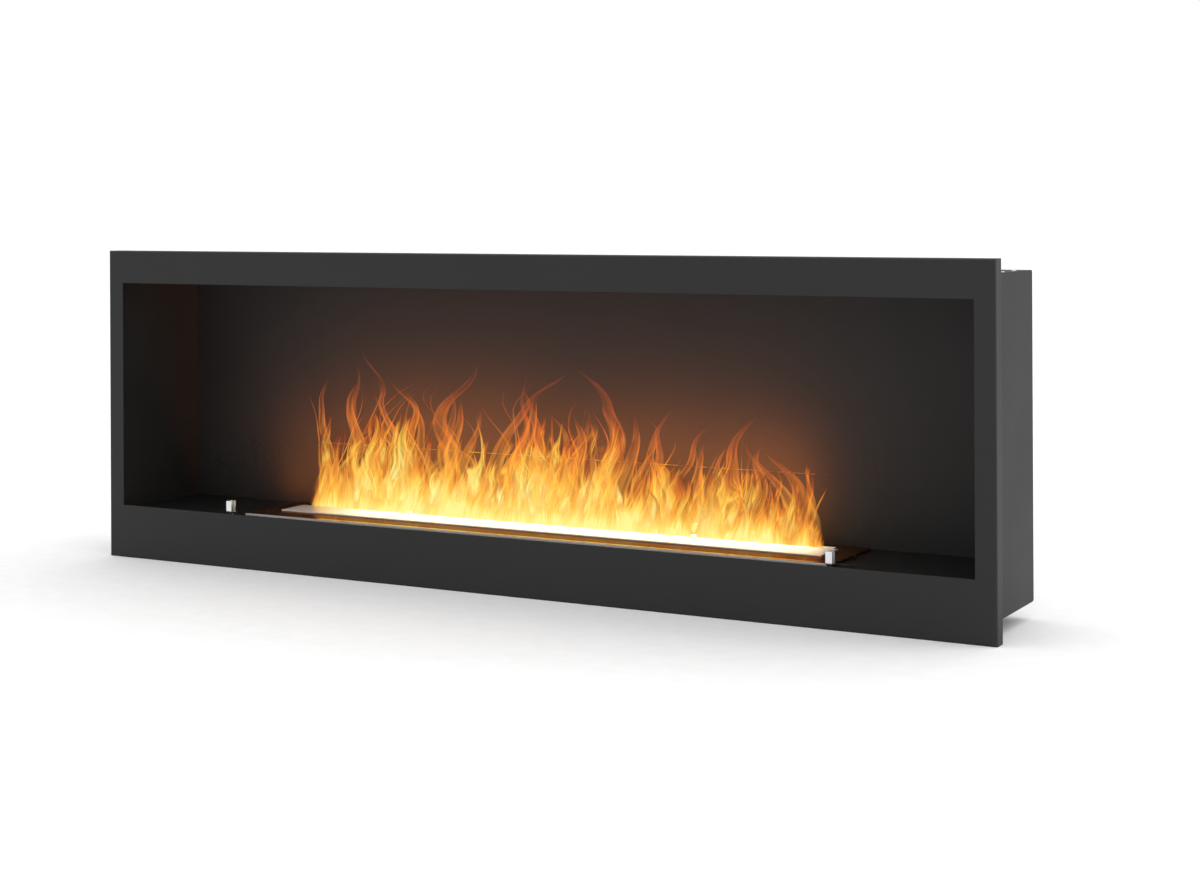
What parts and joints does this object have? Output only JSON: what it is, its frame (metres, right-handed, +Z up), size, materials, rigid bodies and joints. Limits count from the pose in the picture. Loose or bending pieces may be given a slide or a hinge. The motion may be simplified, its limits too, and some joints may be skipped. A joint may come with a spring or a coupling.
{
  "type": "built-in ethanol fireplace",
  "caption": "Wall-recessed linear fireplace: flanged black steel firebox, lift-out slot burner with a sliding shutter, and a low glass windscreen held in clips.",
  "frame": {"origin": "bottom centre of the bounding box: the middle of the front frame's lower edge, halfway back", "axes": "+X to the right seen from the front, +Y from the front face into the wall, +Z up"},
  "size_m": [1.2, 0.163, 0.4],
  "materials": {
    "frame_coat": "fine-textured matte black powder coat",
    "housing_coat": "matte black powder coat",
    "hearth_coat": "satin black heat-resistant coat",
    "plated_steel": "zinc plated",
    "burner_steel": "polished stainless steel",
    "tank_steel": "mill-finish stainless steel",
    "shutter_steel": "brushed stainless steel",
    "wool": "fibrous ceramic wool",
    "chrome_trim": "polished chrome",
    "screen_glass": "clear tempered glass",
    "flame": "translucent glowing flame",
    "silicone": "translucent silicone"
  },
  "bodies": {
    "firebox": {"front_frame": "frame_coat", "frame_studs": "plated_steel", "frame_nuts": "plated_steel", "housing_shell": "housing_coat", "left_side_panel": "housing_coat", "right_side_panel": "housing_coat", "side_rivets": "plated_steel", "hearth_plate": "hearth_coat", "left_hearth_support": "housing_coat", "right_hearth_support": "housing_coat", "left_glass_clip": "chrome_trim", "right_glass_clip": "chrome_trim", "left_clip_pad": "silicone", "right_clip_pad": "silicone", "clip_grub_screws": "plated_steel", "clip_base_screws": "plated_steel"},
    "burner": {"burner_plate": "burner_steel", "burner_tank": "tank_steel", "fuel_tray": "tank_steel", "tray_spacers": "tank_steel", "tray_baffles": "tank_steel", "ceramic_wool": "wool"},
    "shutter_slide": {"shutter": "shutter_steel", "left_shutter_knob": "chrome_trim", "right_shutter_knob": "chrome_trim"},
    "glass": {"windscreen": "screen_glass"}
  },
  "joints": [
    {"name": "burner_lift", "type": "slide", "parent": "firebox", "child": "burner", "axis": [0, 0, 1], "range_m": [0, 0.1]},
    {"name": "shutter_travel", "type": "slide", "parent": "burner", "child": "shutter_slide", "axis": [0, 1, 0], "range_m": [0, 0.022]},
    {"name": "glass_lift", "type": "slide", "parent": "firebox", "child": "glass", "axis": [0, 0, 1], "range_m": [0, 0.1]}
  ]
}
